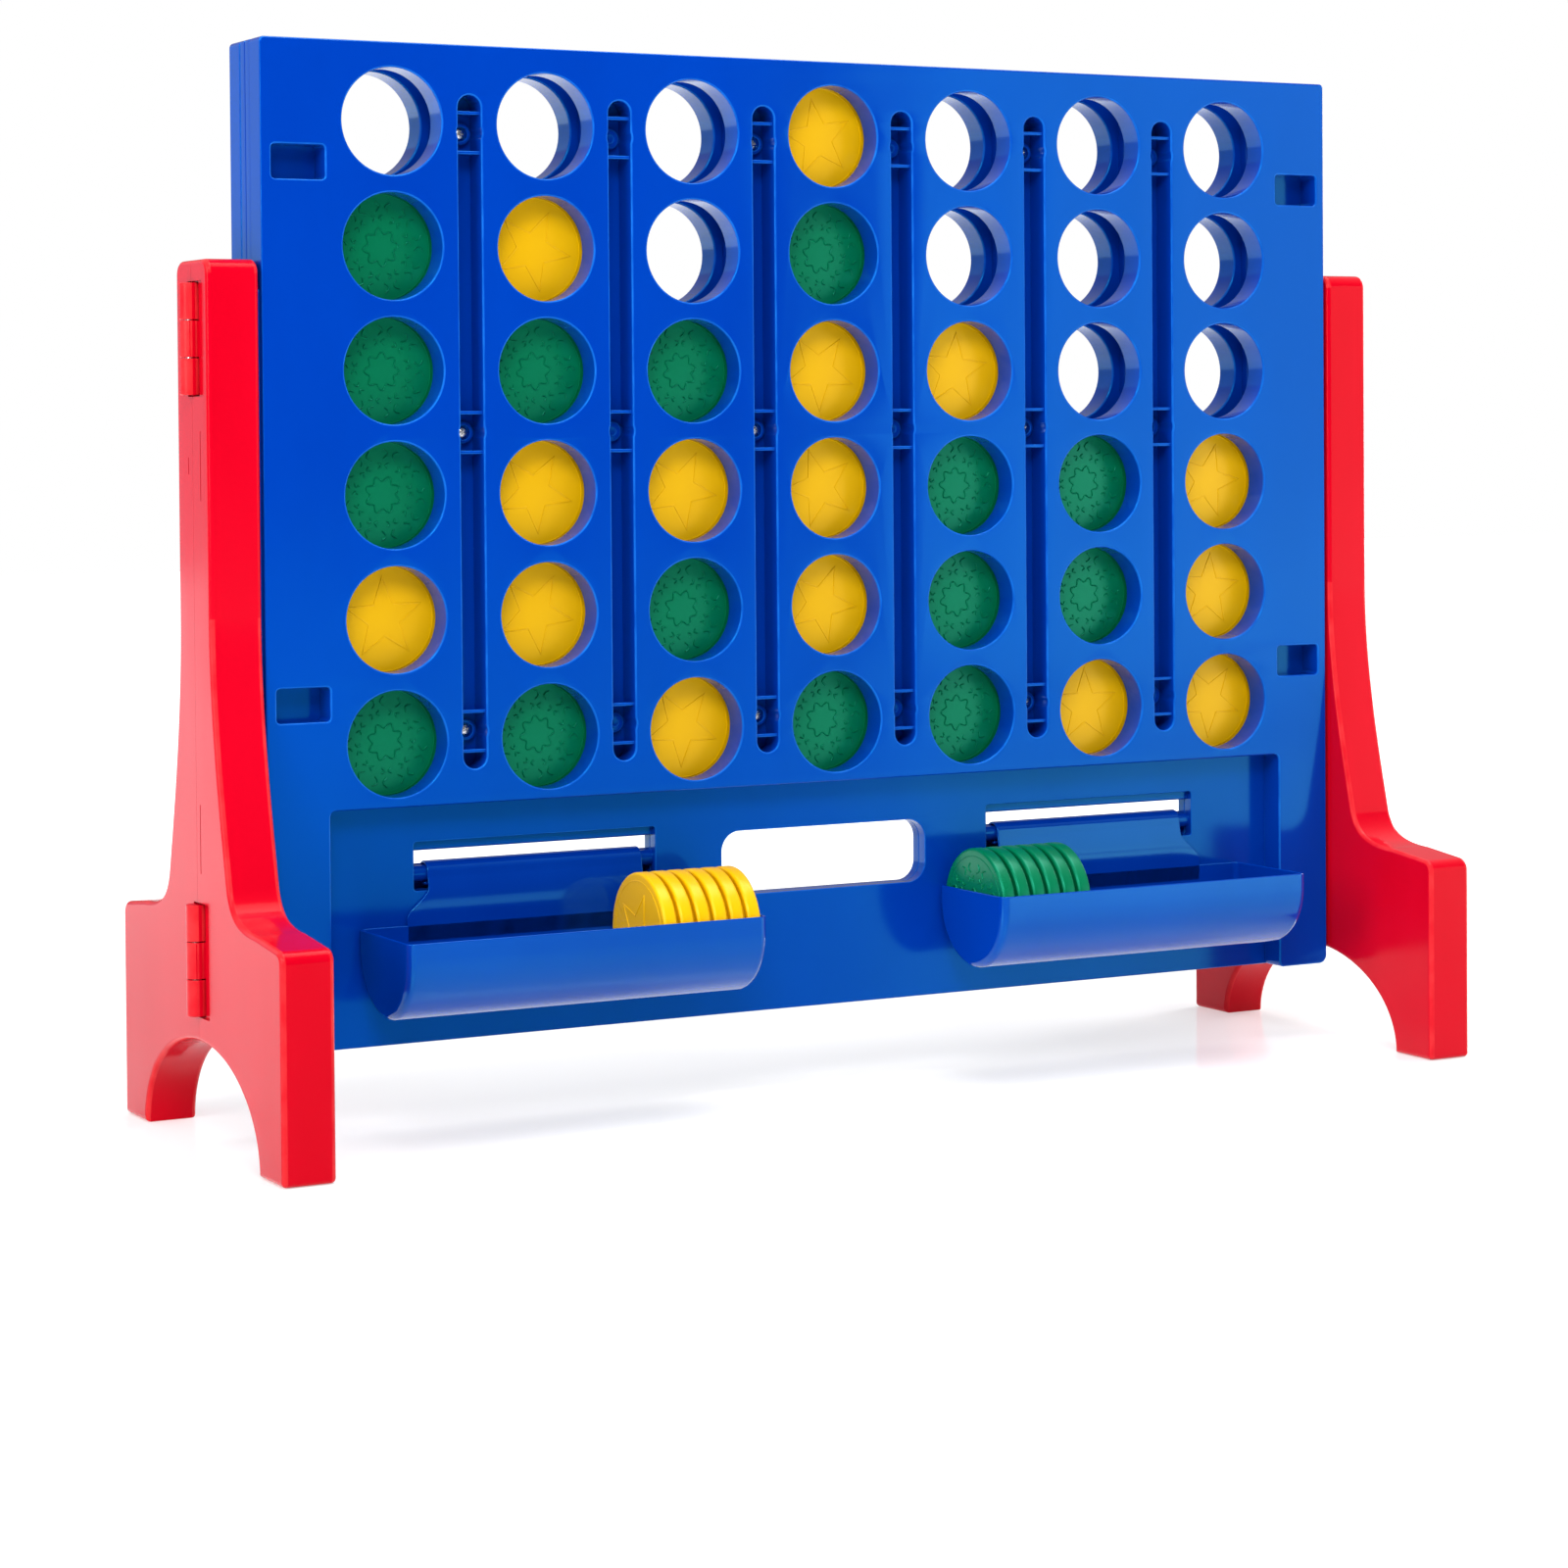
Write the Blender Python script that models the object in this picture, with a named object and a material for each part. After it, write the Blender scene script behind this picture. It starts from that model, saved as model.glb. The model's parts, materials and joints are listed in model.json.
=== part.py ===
"""Giant four in a row: a lawn game with two moulded grid shells, two folding feet,
forty-two discs and two disc trays that hang in windows of the lower panel.

The frame is metres, +Z up, with the origin on the ground under the middle of the
board. X runs along the board and -Y is the front."""
import math

import bmesh
import bpy
from mathutils import Matrix, Vector

# ---- discs and grid ----------------------------------------------------------
COLUMNS = 7
ROWS = 6
DISC_DIAMETER = 0.1055
DISC_THICKNESS = 0.0160
COLUMN_PITCH = 0.1430
HOLE_LIP = 0.00715           # disc's edge behind the rim of its hole
GAP = 0.0003                 # between pieces that touch
DISC_SIDE_CLEARANCE = 0.0008

# ---- board -------------------------------------------------------------------
CHANNEL_DEPTH = 0.0220       # front to back, where the discs drop
FACE_DEPTH = 0.0253          # from the board's face to the channel
END_MARGIN = 0.1185          # from an outer column's axis to the board's edge
TOP_MARGIN = 0.0144          # board above the top row of discs
SHELF_HEIGHT = 0.2080        # board's bottom edge to the shelf under the discs
FACE_DROP = 0.0010           # thick face reaches this far below the shelf
SEAM_INSET = 0.0005          # the shells step in where they meet
POST_WIDTH = 0.0565          # solid posts either side of the lower panel
GROUND_CLEARANCE = 0.0735
RAIL_BASE = 0.1600           # foot of the side rails that the feet are pegged to
RAIL_DROP = 0.0250           # rail's top below the foot's
RAIL_HALF_DEPTH = 0.0300

# ---- openings moulded in the board -------------------------------------------
SLOT_WIDTH = 0.0215
SLOT_HALF_LENGTH = 0.2890
POCKET_WIDTH = 0.0480
POCKET_HEIGHT = 0.0290
POCKET_RISE = 0.2280         # above and below the middle of the grid
POCKET_INSET = 0.0335        # pocket's middle in from the board's edge
WINDOW_INSET = 0.0530        # window's end in from the tray's
WINDOW_HEIGHT = 0.0420
WINDOW_DROP = 0.0345         # below the shelf
HANDLE_LENGTH = 0.2120
HANDLE_HEIGHT = 0.0575
HANDLE_DROP = 0.0435         # below the shelf
HANDLE_RADIUS = 0.0180

# ---- trays -------------------------------------------------------------------
ROD_RADIUS = 0.0070
ROD_CLEARANCE = 0.0004
ROD_RISE = 0.0140            # above the window's lower edge
ROD_SEAT = 0.0080            # each end's reach into the window's jamb
ROLL_WALL = 0.0031
TRAY_WALL = 0.0025
TRAY_OUTER_GAP = 0.0330      # tray's end to the post
TRAY_INNER_GAP = 0.0140      # tray's end to the handle slot's
TRAY_DROP = 0.0570           # trough's axis under the rod
TRAY_LIP = 0.0140            # front wall above the trough's axis
TRAY_PLAY = 0.0012           # round the discs
TRAY_CLEARANCE = 0.0005      # back of the trough to the lower panel
HANGER_INSET = 0.0130        # hanger's end in from the window's
HANGER_JOIN = (220, 170)     # degrees round the roll where the hanger meets it
TRAY_DISCS = 6

# ---- feet --------------------------------------------------------------------
LEG_THICKNESS = 0.0460
LEG_OFFSET = 0.0030          # board's edge to the foot's inner face
LEG_TOP = 0.7450
LEG_HALF_DEPTH = 0.0380
LEG_CORNER = 0.0120
FLARE_TOP = 0.4460           # where the upright starts to widen
FLARE_WIDTH = 0.0350
FLARE_START_PULL = 0.0860    # how long each curve holds its direction
FLARE_END_PULL = 0.0540
FLARE_LEAN = 0.2400          # outward per unit down, where the flare meets the instep
FILLET_TOP = 0.2260
FILLET_PULL = 0.0210
INSTEP_LENGTH = 0.0620
INSTEP_PULL = 0.0400
FOOT_HEIGHT = 0.1940
FOOT_HALF_DEPTH = 0.1930
FOOT_CORNER = 0.0110
FOOT_FALL = 0.0055           # of the foot's top towards its toe
TOE_TURN = 85                # degrees of the toe's top corner
ARCH_HALF_WIDTH = 0.1380
ARCH_HEIGHT = 0.0900

# ---- foot hinges -------------------------------------------------------------
LOWER_HINGE_HEIGHT = 0.1590
UPPER_HINGE_DROP = 0.0660    # below the foot's top
HINGE_LENGTH = 0.0945
KNUCKLE_RADIUS = 0.0090
KNUCKLE_CLEARANCE = 0.0006
KNUCKLE_GAP = 0.0008
HINGE_STANDOFF = 0.0010      # axis outside the foot's outer face
PIN_RADIUS = 0.0040
PIN_CLEARANCE = 0.0003

# ---- the game as it stands: each column's discs from the bottom up -----------
COLUMN_DISCS = ("GYGGG", "GYYGY", "YGYG", "GYYYGY", "GGGY", "YGG", "YYY")

# ---- how finely curves are cut -----------------------------------------------
ROUND_SIDES = 16             # discs, their holes, rods and knuckles
PIN_SIDES = 12
END_STEPS = 4                # slot ends and rounded corners
TROUGH_STEPS = 12
FLARE_STEPS = 6
INSTEP_STEPS = 5
ARCH_STEPS = 8
SMOOTH_ANGLE = 35            # degrees
LAP = 0.0002                 # how far joined solids reach into each other
MERGE = 0.00001              # doubled points closer than this are one

# ---- values that follow ------------------------------------------------------
HOLE_DIAMETER = DISC_DIAMETER - 2 * HOLE_LIP
ROW_PITCH = DISC_DIAMETER + GAP
HALF_CHANNEL = DISC_DIAMETER / 2 + DISC_SIDE_CLEARANCE
BOARD_HALF = (COLUMNS - 1) / 2 * COLUMN_PITCH + END_MARGIN
BOARD_HALF_DEPTH = CHANNEL_DEPTH / 2 + FACE_DEPTH
SHELF_Z = GROUND_CLEARANCE + SHELF_HEIGHT
GRID_Z = SHELF_Z + ROWS / 2 * ROW_PITCH
BOARD_TOP = SHELF_Z + ROWS * ROW_PITCH + TOP_MARGIN
LOWER_HALF = BOARD_HALF - POST_WIDTH
TRAY_INNER = HANDLE_LENGTH / 2 + TRAY_INNER_GAP
TRAY_LENGTH = LOWER_HALF - TRAY_OUTER_GAP - TRAY_INNER
WINDOW_OFFSET = TRAY_INNER + TRAY_LENGTH / 2
WINDOW_LENGTH = TRAY_LENGTH - 2 * WINDOW_INSET
HANGER_LENGTH = WINDOW_LENGTH - 2 * HANGER_INSET
WINDOW_TOP = SHELF_Z - WINDOW_DROP
HANDLE_Z = SHELF_Z - HANDLE_DROP - HANDLE_HEIGHT / 2
ROD_Z = WINDOW_TOP - WINDOW_HEIGHT + ROD_RISE
ROLL_BORE = ROD_RADIUS + ROD_CLEARANCE
ROLL_RADIUS = ROLL_BORE + ROLL_WALL
TROUGH_BORE = DISC_DIAMETER / 2 + TRAY_PLAY
TROUGH_RADIUS = TROUGH_BORE + TRAY_WALL
TROUGH_Y = -CHANNEL_DEPTH / 2 - TRAY_CLEARANCE - TROUGH_RADIUS
TROUGH_Z = ROD_Z - TRAY_DROP
LEG_INNER = BOARD_HALF + LEG_OFFSET
LEG_OUTER = LEG_INNER + LEG_THICKNESS
HINGE_X = LEG_OUTER + HINGE_STANDOFF
HINGE_HEIGHTS = (LOWER_HINGE_HEIGHT, LEG_TOP - UPPER_HINGE_DROP)
HALF_GAP = GAP / 2

parts = None
ON_FRONT = Matrix.Rotation(math.pi / 2, 4, "X")           # outline (x, z), thick along Y
ON_SIDE = Matrix(((0, 0, 1, 0), (1, 0, 0, 0), (0, 1, 0, 0), (0, 0, 0, 1)))  # (y, z) along X


def clear_scene():
    for obj in list(bpy.data.objects):
        bpy.data.objects.remove(obj, do_unlink=True)


def material(name, colour, roughness, metallic=0.0):
    made = bpy.data.materials.new(name)
    made.use_nodes = True
    shader = made.node_tree.nodes["Principled BSDF"]
    shader.inputs["Base Color"].default_value = (*colour, 1.0)
    shader.inputs["Roughness"].default_value = roughness
    shader.inputs["Metallic"].default_value = metallic
    return made


def blue_plastic():
    return material("board_blue", (0.0, 0.075, 0.60), 0.28)


def red_plastic():
    return material("foot_red", (0.72, 0.005, 0.02), 0.30)


def yellow_plastic():
    return material("disc_yellow", (0.85, 0.50, 0.0), 0.35)


def green_plastic():
    return material("disc_green", (0.0, 0.22, 0.09), 0.38)


def steel():
    return material("pin_steel", (0.55, 0.55, 0.56), 0.30, 1.0)


# ---- outlines ----------------------------------------------------------------
def box_loop(left, right, bottom, top):
    return [(left, bottom), (right, bottom), (right, top), (left, top)]


def arc(cx, cy, radius, start, end, steps):
    """Points on an arc, angles in degrees, both ends included."""
    turns = [math.radians(start + (end - start) * i / steps) for i in range(steps + 1)]
    return [(cx + radius * math.cos(a), cy + radius * math.sin(a)) for a in turns]


def circle_loop(cx, cy, radius, sides):
    return arc(cx, cy, radius, 0, 360, sides)[:-1]


def round_box_loop(cx, cy, width, height, radius):
    dx, dy = width / 2 - radius, height / 2 - radius
    corners = ((dx, dy, 0), (-dx, dy, 90), (-dx, -dy, 180), (dx, -dy, 270))
    return [p for x, y, a in corners for p in arc(cx + x, cy + y, radius, a, a + 90, END_STEPS)]


def slot_loop(cx, cy, width, half_length):
    ends = arc(cx, cy + half_length - width / 2, width / 2, 0, 180, END_STEPS)
    return ends + arc(cx, cy - half_length + width / 2, width / 2, 180, 360, END_STEPS)


def bezier(a, b, c, d, steps):
    """Points on a cubic curve, without its first point."""
    made = []
    for i in range(1, steps + 1):
        t = i / steps
        s = 1 - t
        weights = (s * s * s, 3 * s * s * t, 3 * s * t * t, t * t * t)
        made.append(tuple(sum(w * p[k] for w, p in zip(weights, (a, b, c, d))) for k in (0, 1)))
    return made


# ---- solids ------------------------------------------------------------------
def place(name, mesh, colour=None, location=(0, 0, 0)):
    obj = bpy.data.objects.new(name, mesh)
    obj.location = location
    parts.objects.link(obj)
    if colour and not mesh.materials:
        mesh.materials.append(colour)
    return obj


def plate(name, loops, low, high, turn):
    """A flat outline, with any holes, made solid from low to high along its normal."""
    curve = bpy.data.curves.new(name, "CURVE")
    curve.dimensions = "2D"
    curve.fill_mode = "BOTH"
    curve.extrude = (high - low) / 2
    for loop in loops:
        spline = curve.splines.new("POLY")
        spline.points.add(len(loop) - 1)
        spline.use_cyclic_u = True
        for point, (u, v) in zip(spline.points, loop):
            point.co = (u, v, 0, 1)
    drawn = place(name + "_outline", curve)
    evaluated = drawn.evaluated_get(bpy.context.evaluated_depsgraph_get())
    mesh = bpy.data.meshes.new_from_object(evaluated)
    bpy.data.objects.remove(drawn)
    bpy.data.curves.remove(curve)
    mesh.transform(turn @ Matrix.Translation((0, 0, (low + high) / 2)))
    tidy = bmesh.new()
    tidy.from_mesh(mesh)
    bmesh.ops.remove_doubles(tidy, verts=tidy.verts, dist=MERGE)
    bmesh.ops.recalc_face_normals(tidy, faces=tidy.faces)
    tidy.to_mesh(mesh)
    tidy.free()
    mesh.name = name
    return place(name, mesh)


def front_plate(name, loops, front, back):
    """A plate in the board's plane, from depth front to depth back along Y."""
    return plate(name, loops, -back, -front, ON_FRONT)


def side_plate(name, loops, left, right):
    return plate(name, loops, left, right, ON_SIDE)


def cylinder(name, radius, start, end, sides):
    """A round bar between two points."""
    start, end = Vector(start), Vector(end)
    along = end - start
    shape = bmesh.new()
    bmesh.ops.create_cone(shape, cap_ends=True, segments=sides, radius1=radius, radius2=radius,
                          depth=along.length)
    turn = along.to_track_quat("Z", "Y").to_matrix().to_4x4()
    shape.transform(Matrix.Translation((start + end) / 2) @ turn)
    mesh = bpy.data.meshes.new(name)
    shape.to_mesh(mesh)
    shape.free()
    return place(name, mesh)


def combine(base, others, operation):
    """Join other solids to a base, or cut them out of it, and keep the result as its mesh."""
    for other in others:
        change = base.modifiers.new(operation.lower(), "BOOLEAN")
        change.operation = operation
        change.solver = "EXACT"
        change.object = other
        done = base.evaluated_get(bpy.context.evaluated_depsgraph_get())
        mesh = bpy.data.meshes.new_from_object(done)
        base.modifiers.clear()
        base.data = mesh
        mesh.name = base.name
        bpy.data.objects.remove(other)
    return base


def smooth(obj):
    obj.data.shade_smooth()
    obj.data.set_sharp_from_angle(angle=math.radians(SMOOTH_ANGLE))


# ---- board -------------------------------------------------------------------
def column_x(column):
    return (column - (COLUMNS - 1) / 2) * COLUMN_PITCH


def row_z(row):
    """Height of a disc's middle, with row 0 at the bottom."""
    return SHELF_Z + GAP + DISC_DIAMETER / 2 + row * ROW_PITCH


def disc_holes():
    return [circle_loop(column_x(c), row_z(r), HOLE_DIAMETER / 2, ROUND_SIDES)
            for c in range(COLUMNS) for r in range(ROWS)]


def rib_slots():
    middles = [(column_x(c) + column_x(c + 1)) / 2 for c in range(COLUMNS - 1)]
    return [slot_loop(x, GRID_Z, SLOT_WIDTH, SLOT_HALF_LENGTH) for x in middles]


def pockets():
    x = BOARD_HALF - POCKET_INSET
    made = []
    for px in (-x, x):
        for pz in (GRID_Z - POCKET_RISE, GRID_Z + POCKET_RISE):
            made.append(box_loop(px - POCKET_WIDTH / 2, px + POCKET_WIDTH / 2,
                                 pz - POCKET_HEIGHT / 2, pz + POCKET_HEIGHT / 2))
    return made


def face_loop():
    """The thick face with its two posts, open below the discs."""
    under = SHELF_Z - FACE_DROP
    return [(-BOARD_HALF, GROUND_CLEARANCE), (-LOWER_HALF, GROUND_CLEARANCE), (-LOWER_HALF, under),
            (LOWER_HALF, under), (LOWER_HALF, GROUND_CLEARANCE), (BOARD_HALF, GROUND_CLEARANCE),
            (BOARD_HALF, BOARD_TOP), (-BOARD_HALF, BOARD_TOP)]


def core_loop():
    """The lower panel and the ribs between the columns, which stand on it like a comb."""
    side, bottom = BOARD_HALF - SEAM_INSET, GROUND_CLEARANCE + SEAM_INSET
    top = BOARD_TOP - SEAM_INSET
    made = [(-side, bottom), (side, bottom), (side, top)]
    for c in reversed(range(COLUMNS)):
        right, left = column_x(c) + HALF_CHANNEL, column_x(c) - HALF_CHANNEL
        made += [(right, top), (right, SHELF_Z), (left, SHELF_Z), (left, top)]
    return made + [(-side, top)]


def lower_openings():
    windows = [box_loop(x - WINDOW_LENGTH / 2, x + WINDOW_LENGTH / 2,
                        WINDOW_TOP - WINDOW_HEIGHT, WINDOW_TOP)
               for x in (-WINDOW_OFFSET, WINDOW_OFFSET)]
    return windows + [round_box_loop(0, HANDLE_Z, HANDLE_LENGTH, HANDLE_HEIGHT, HANDLE_RADIUS)]


def rod_ends(x):
    reach = WINDOW_LENGTH / 2 + ROD_SEAT
    return (x - reach, 0, ROD_Z), (x + reach, 0, ROD_Z)


def rail(side):
    """A raised rail on the board's side, up against the foot."""
    ends = sorted((side * (BOARD_HALF - LEG_OFFSET), side * (LEG_INNER - GAP)))
    return front_plate("rail", [box_loop(*ends, RAIL_BASE, LEG_TOP - RAIL_DROP)],
                       -RAIL_HALF_DEPTH, -HALF_GAP - SEAM_INSET)


def grid_shell():
    """One half of the board: both halves are the same moulding."""
    channel_face = -CHANNEL_DEPTH / 2
    shell = front_plate("front_panel", [face_loop()] + disc_holes() + rib_slots() + pockets(),
                        -BOARD_HALF_DEPTH, channel_face + LAP)
    core = front_plate("core", [core_loop()], channel_face, -HALF_GAP)
    rails = [rail(side) for side in (-1, 1)]
    combine(shell, [core, *rails], "UNION")
    cuts = [front_plate("opening", [loop], -BOARD_HALF_DEPTH, BOARD_HALF_DEPTH)
            for loop in lower_openings()]
    cuts += [cylinder("rod_seat", ROLL_BORE, *rod_ends(x), ROUND_SIDES)
             for x in (-WINDOW_OFFSET, WINDOW_OFFSET)]
    return combine(shell, cuts, "DIFFERENCE")


def board():
    shell = grid_shell()
    shell.data.materials.clear()
    shell.data.materials.append(BLUE)
    back = place("back_panel", shell.data)
    back.rotation_euler = (0, 0, math.pi)


# ---- discs -------------------------------------------------------------------
def disc_mesh(name, colour, along):
    """A disc centred on the origin with its axis along the given direction."""
    half = Vector(along) * DISC_THICKNESS / 2
    made = cylinder(name, DISC_DIAMETER / 2, -half, half, ROUND_SIDES)
    smooth(made)
    mesh = made.data
    mesh.materials.append(colour)
    bpy.data.objects.remove(made)
    return mesh


def grid_discs():
    meshes = {"Y": disc_mesh("yellow_disc", YELLOW, (0, 1, 0)),
              "G": disc_mesh("green_disc", GREEN, (0, 1, 0))}
    for c, stack in enumerate(COLUMN_DISCS):
        for r, letter in enumerate(stack):
            name = f"column_{c + 1}_disc_{r + 1}"
            place(name, meshes[letter], location=(column_x(c), 0, row_z(r)))


def tray_disc_x(side, number):
    """Middle of one tray disc: they all stand at the end nearest the handle slot."""
    step = DISC_THICKNESS + GAP
    inner_end = TRAY_INNER + TRAY_WALL + GAP
    return side * (inner_end + DISC_THICKNESS / 2 + number * step)


def tray_discs():
    for side, where, colour in ((-1, "left", YELLOW), (1, "right", GREEN)):
        mesh = disc_mesh(f"{where}_tray_disc", colour, (1, 0, 0))
        for number in range(TRAY_DISCS):
            place(f"{where}_tray_disc_{number + 1}", mesh,
                  location=(tray_disc_x(side, number), TROUGH_Y, TROUGH_Z))


# ---- trays -------------------------------------------------------------------
def cap_loop():
    """The filled section of the trough, out to the middle of its wall."""
    radius, lip = TROUGH_BORE + TRAY_WALL / 2, TROUGH_Z + TRAY_LIP - LAP
    return ([(TROUGH_Y + radius, lip), (TROUGH_Y - radius, lip)]
            + arc(TROUGH_Y, TROUGH_Z, radius, 180, 360, TROUGH_STEPS))


def trough_wall_loop():
    lip = TROUGH_Z + TRAY_LIP
    outside = arc(TROUGH_Y, TROUGH_Z, TROUGH_RADIUS, 180, 360, TROUGH_STEPS)
    inside = arc(TROUGH_Y, TROUGH_Z, TROUGH_BORE, 360, 180, TROUGH_STEPS)
    return ([(TROUGH_Y - TROUGH_RADIUS, lip)] + outside + [(TROUGH_Y + TROUGH_RADIUS, lip)]
            + [(TROUGH_Y + TROUGH_BORE, lip)] + inside + [(TROUGH_Y - TROUGH_BORE, lip)])


def hanger_loop():
    """The back wall's upward leaf, which leans in to meet the roll round the rod."""
    back, front = TROUGH_Y + TROUGH_RADIUS - LAP, TROUGH_Y + TROUGH_BORE + LAP
    joined = arc(0, ROD_Z, ROLL_RADIUS - ROLL_WALL / 2, *HANGER_JOIN, 1)
    return ([(front, TROUGH_Z), (back, TROUGH_Z), (back, ROD_Z + back)] + joined
            + [(front, ROD_Z - ROLL_RADIUS / 2)])


def tray(name, x):
    ends = (x - TRAY_LENGTH / 2, x + TRAY_LENGTH / 2)
    body = side_plate(name, [trough_wall_loop()], *ends)
    caps = [side_plate("cap", [cap_loop()], low, low + TRAY_WALL - LAP)
            for low in (ends[0] + LAP, ends[1] - TRAY_WALL)]
    hanger = side_plate("hanger", [hanger_loop()], x - HANGER_LENGTH / 2, x + HANGER_LENGTH / 2)
    roll = side_plate("roll", [circle_loop(0, ROD_Z, ROLL_RADIUS, ROUND_SIDES),
                               circle_loop(0, ROD_Z, ROLL_BORE, ROUND_SIDES)],
                      x - HANGER_LENGTH / 2 - LAP, x + HANGER_LENGTH / 2 + LAP)
    combine(hanger, [roll], "UNION")
    combine(body, [*caps, hanger], "UNION")
    body.data.materials.clear()
    body.data.materials.append(BLUE)
    pivot = bpy.data.objects.new(name + "_pivot", None)
    pivot.location = (x, 0, ROD_Z)
    parts.objects.link(pivot)
    body.parent = pivot
    body.matrix_parent_inverse = Matrix.Translation(pivot.location).inverted()


def trays():
    for side, where in ((-1, "left"), (1, "right")):
        x = side * WINDOW_OFFSET
        tray(f"{where}_tray", x)
        start, end = (Vector(p) for p in rod_ends(x))
        inset = Vector((GAP, 0, 0))
        rod = cylinder(f"{where}_tray_rod", ROD_RADIUS, start + inset, end - inset,
                       ROUND_SIDES)
        rod.data.materials.append(BLUE)
        smooth(rod)


# ---- feet --------------------------------------------------------------------
def foot_loop(side):
    """Half of a foot seen from the side: side is -1 for the front half and 1 for the back."""
    top = arc(LEG_HALF_DEPTH - LEG_CORNER, LEG_TOP - LEG_CORNER, LEG_CORNER, 90, 0, END_STEPS)
    ankle = LEG_HALF_DEPTH + FLARE_WIDTH
    flare = bezier((LEG_HALF_DEPTH, FLARE_TOP), (LEG_HALF_DEPTH, FLARE_TOP - FLARE_START_PULL),
                   (ankle - FLARE_LEAN * FLARE_END_PULL, FILLET_TOP + FLARE_END_PULL),
                   (ankle, FILLET_TOP), FLARE_STEPS)
    instep_end = ankle + INSTEP_LENGTH
    instep = bezier((ankle, FILLET_TOP), (ankle + FLARE_LEAN * FILLET_PULL, FILLET_TOP - FILLET_PULL),
                    (instep_end - INSTEP_PULL, FOOT_HEIGHT + FOOT_FALL),
                    (instep_end, FOOT_HEIGHT), INSTEP_STEPS)
    toe = arc(FOOT_HALF_DEPTH - FOOT_CORNER, FOOT_HEIGHT - FOOT_FALL - FOOT_CORNER, FOOT_CORNER,
              TOE_TURN, 0, END_STEPS)
    turns = [math.pi / 2 * i / ARCH_STEPS for i in range(ARCH_STEPS + 1)]
    arch = [(ARCH_HALF_WIDTH * math.cos(a), ARCH_HEIGHT * math.sin(a)) for a in turns]
    arch[-1] = (HALF_GAP, ARCH_HEIGHT)
    outline = ([(HALF_GAP, LEG_TOP)] + top + [(LEG_HALF_DEPTH, FLARE_TOP)] + flare + instep + toe
               + [(FOOT_HALF_DEPTH, 0)] + arch)
    return [(side * y, z) for y, z in outline]


def knuckle_spans(height):
    """The three knuckles of one hinge, from the bottom up, as pairs of heights."""
    length = HINGE_LENGTH / 3
    low = height - HINGE_LENGTH / 2
    return [(low + i * length + KNUCKLE_GAP / 2, low + (i + 1) * length - KNUCKLE_GAP / 2)
            for i in range(3)]


def upright_bar(name, x, radius, low, high, sides=ROUND_SIDES):
    return cylinder(name, radius, (x, 0, low), (x, 0, high), sides)


def foot_half(name, x_side, y_side):
    inner, outer = sorted((x_side * LEG_INNER, x_side * LEG_OUTER))
    half = side_plate(name, [foot_loop(y_side)], inner, outer)
    hinge_x = x_side * HINGE_X
    own = (0, 2) if y_side > 0 else (1,)
    for height in HINGE_HEIGHTS:
        spans = knuckle_spans(height)
        for i, (low, high) in enumerate(spans):
            if i in own:
                continue
            room = upright_bar("room", hinge_x, KNUCKLE_RADIUS + KNUCKLE_CLEARANCE,
                               low - KNUCKLE_GAP, high + KNUCKLE_GAP)
            combine(half, [room], "DIFFERENCE")
        for i in own:
            knuckle = upright_bar("knuckle", hinge_x, KNUCKLE_RADIUS, *spans[i])
            combine(half, [knuckle], "UNION")
        bore = upright_bar("bore", hinge_x, PIN_RADIUS + PIN_CLEARANCE,
                           height - HINGE_LENGTH / 2 - GAP, height + HINGE_LENGTH / 2 + GAP,
                           PIN_SIDES)
        combine(half, [bore], "DIFFERENCE")
    half.data.materials.clear()
    half.data.materials.append(RED)
    axis = bpy.data.objects.new(name + "_axis", None)
    axis.location = (hinge_x, 0, 0)
    parts.objects.link(axis)
    half.parent = axis
    half.matrix_parent_inverse = Matrix.Translation(axis.location).inverted()


def hinge_pins(where, x_side):
    for height, which in zip(HINGE_HEIGHTS, ("lower", "upper")):
        pin = upright_bar(f"{where}_{which}_hinge_pin", x_side * HINGE_X, PIN_RADIUS,
                          height - HINGE_LENGTH / 2, height + HINGE_LENGTH / 2, PIN_SIDES)
        pin.data.materials.append(STEEL)
        smooth(pin)


def feet():
    for x_side, where in ((-1, "left"), (1, "right")):
        foot_half(f"{where}_foot_front", x_side, -1)
        foot_half(f"{where}_foot_back", x_side, 1)
        hinge_pins(where, x_side)


clear_scene()
parts = bpy.data.collections.new("giant_four_in_a_row")
bpy.context.scene.collection.children.link(parts)
BLUE, RED = blue_plastic(), red_plastic()
YELLOW, GREEN, STEEL = yellow_plastic(), green_plastic(), steel()
board()
trays()
grid_discs()
tray_discs()
feet()
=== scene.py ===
import json
import math
import random

import bmesh
import bpy
from mathutils import Matrix, Vector


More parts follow.
